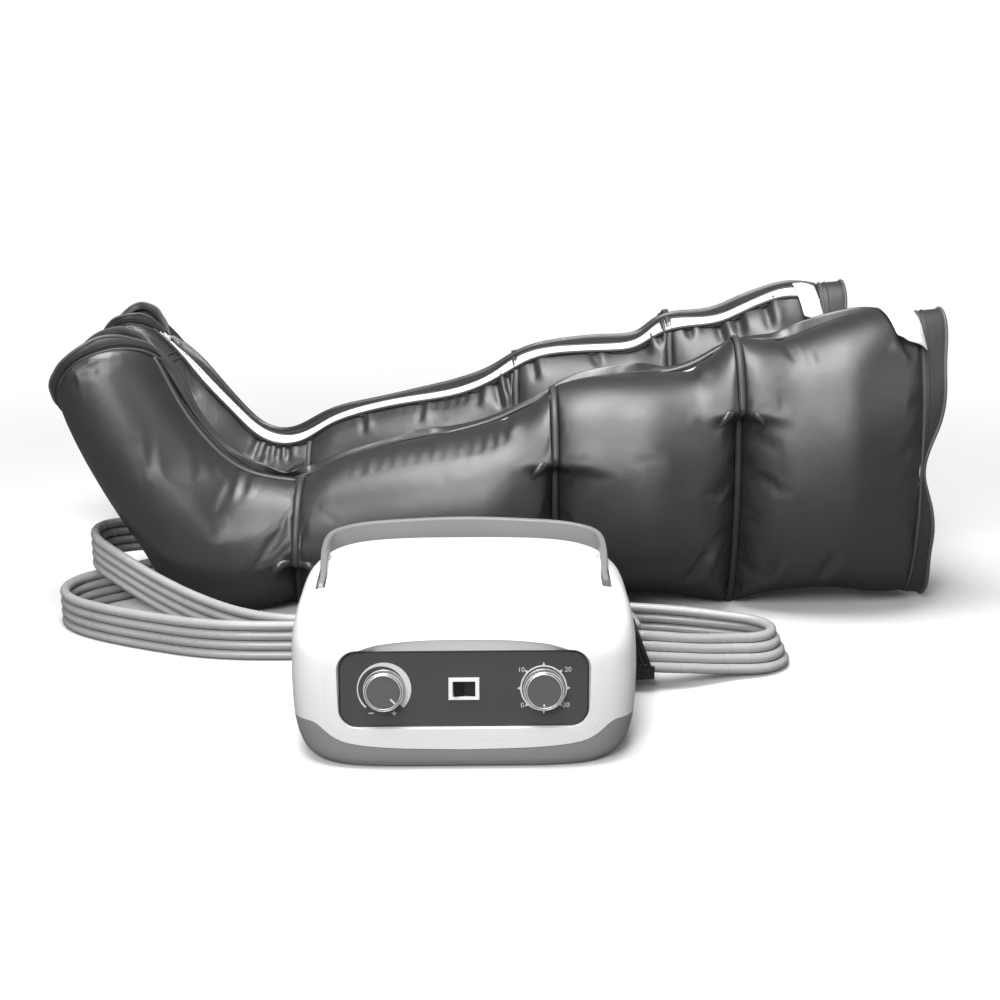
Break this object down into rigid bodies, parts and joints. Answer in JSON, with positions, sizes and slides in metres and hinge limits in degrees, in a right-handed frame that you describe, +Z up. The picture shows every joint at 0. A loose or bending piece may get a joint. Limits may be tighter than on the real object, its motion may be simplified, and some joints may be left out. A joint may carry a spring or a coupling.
{
  "type": "compression therapy pump",
  "caption": "Air compression therapy pump with dial panel and folding carry handle, joined by flat hose ribbons to two inflatable leg sleeves.",
  "frame": {"origin": "centre of the pump's base skid on the table", "axes": "+X to the pump's right as its user faces the panel and along both sleeves from toes to thigh, +Y to the back towards the sleeves, +Z up"},
  "size_m": [0.8375, 0.6765, 0.2864],
  "materials": {
    "white_casing": "satin white ABS moulding",
    "grey_casing": "fine-textured mid-grey ABS",
    "rubber_black": "matte",
    "steel": "bright zinc",
    "panel_grey": "fine matt overlay",
    "knob_metal": "turned and brushed cap, bright edge",
    "ring_print": "raised light ring",
    "switch_plastic": "light bezel",
    "rocker_black": "glossy black",
    "cast_frame": "die cast",
    "copper": "enamelled winding",
    "magnet_steel": "laminated steel",
    "valve_plastic": "natural acetal",
    "motor_can": "plated can",
    "black_plastic": "black moulding",
    "board_green": "circuit board",
    "hose_pvc": "soft grey PVC",
    "nylon_grey": "satin coated nylon, welded",
    "binding_dark": "woven binding",
    "zip_white": "white webbing",
    "zip_metal": "small slider"
  },
  "bodies": {
    "pump": {"top_cover": "white_casing", "front_frame": "white_casing", "base_tray": "grey_casing", "base_skid": "rubber_black", "compressor_mounts": "rubber_black", "casing_screws": "steel", "handle_pins": "steel", "control_panel": "panel_grey", "pressure_scale_ring": "ring_print", "timer_scale_ring": "ring_print", "switch_housing": "switch_plastic", "compressor_frame": "cast_frame", "compressor_heads": "cast_frame", "compressor_coils": "copper", "mains_transformer": "magnet_steel", "distributor_body": "valve_plastic", "pressure_regulator": "valve_plastic", "timer_movement": "valve_plastic", "distributor_motor": "motor_can", "outlet_manifold": "black_plastic", "mains_inlet": "black_plastic", "fuse_holder": "black_plastic", "hose_plug": "black_plastic", "front_hose_connector": "black_plastic", "rear_hose_connector": "black_plastic", "control_board": "board_green", "hose_ribbon_front": "hose_pvc", "hose_ribbon_rear": "hose_pvc", "front_foot_chamber": "nylon_grey", "front_calf_chamber": "nylon_grey", "front_knee_chamber": "nylon_grey", "front_thigh_chamber": "nylon_grey", "front_toe_hem": "binding_dark", "front_mouth_hem": "binding_dark", "front_zip_tape": "zip_white", "front_mouth_tab": "zip_white", "front_zip_pull": "zip_metal", "rear_foot_chamber": "nylon_grey", "rear_calf_chamber": "nylon_grey", "rear_knee_chamber": "nylon_grey", "rear_thigh_chamber": "nylon_grey", "rear_toe_hem": "binding_dark", "rear_mouth_hem": "binding_dark", "rear_zip_tape": "zip_white", "rear_mouth_tab": "zip_white", "rear_zip_pull": "zip_metal"},
    "handle": {"carry_handle": "grey_casing"},
    "pressure_control": {"pressure_knob": "knob_metal", "pressure_shaft": "steel"},
    "timer_control": {"timer_knob": "knob_metal", "timer_shaft": "steel"},
    "rocker": {"power_rocker": "rocker_black"},
    "armature": {"compressor_armature": "magnet_steel"},
    "rotor": {"distributor_rotor": "valve_plastic"}
  },
  "joints": [
    {"name": "handle_lift", "type": "hinge", "parent": "pump", "child": "handle", "pos_m": [0, -0.012, 0.1055], "axis": [1, 0, 0], "range_deg": [0, 85]},
    {"name": "pressure_turn", "type": "hinge", "parent": "pump", "child": "pressure_control", "pos_m": [-0.058, -0.0975, 0.061], "axis": [0, -0.9903, 0.1392], "range_deg": [0, 270]},
    {"name": "timer_turn", "type": "hinge", "parent": "pump", "child": "timer_control", "pos_m": [0.058, -0.0975, 0.061], "axis": [0, -0.9903, 0.1392], "range_deg": [-315, 0]},
    {"name": "rocker_tip", "type": "hinge", "parent": "pump", "child": "rocker", "pos_m": [0, -0.09552, 0.06072], "axis": [0, 0.1392, 0.9903], "range_deg": [-14, 0]},
    {"name": "armature_stroke", "type": "slide", "parent": "pump", "child": "armature", "axis": [1, 0, 0], "range_m": [-0.0015, 0.0015], "stiffness_N_per_m": 1500},
    {"name": "rotor_spin", "type": "hinge", "parent": "pump", "child": "rotor", "pos_m": [0.062, 0.05, 0.021], "axis": [0, 0, 1], "continuous": true}
  ]
}
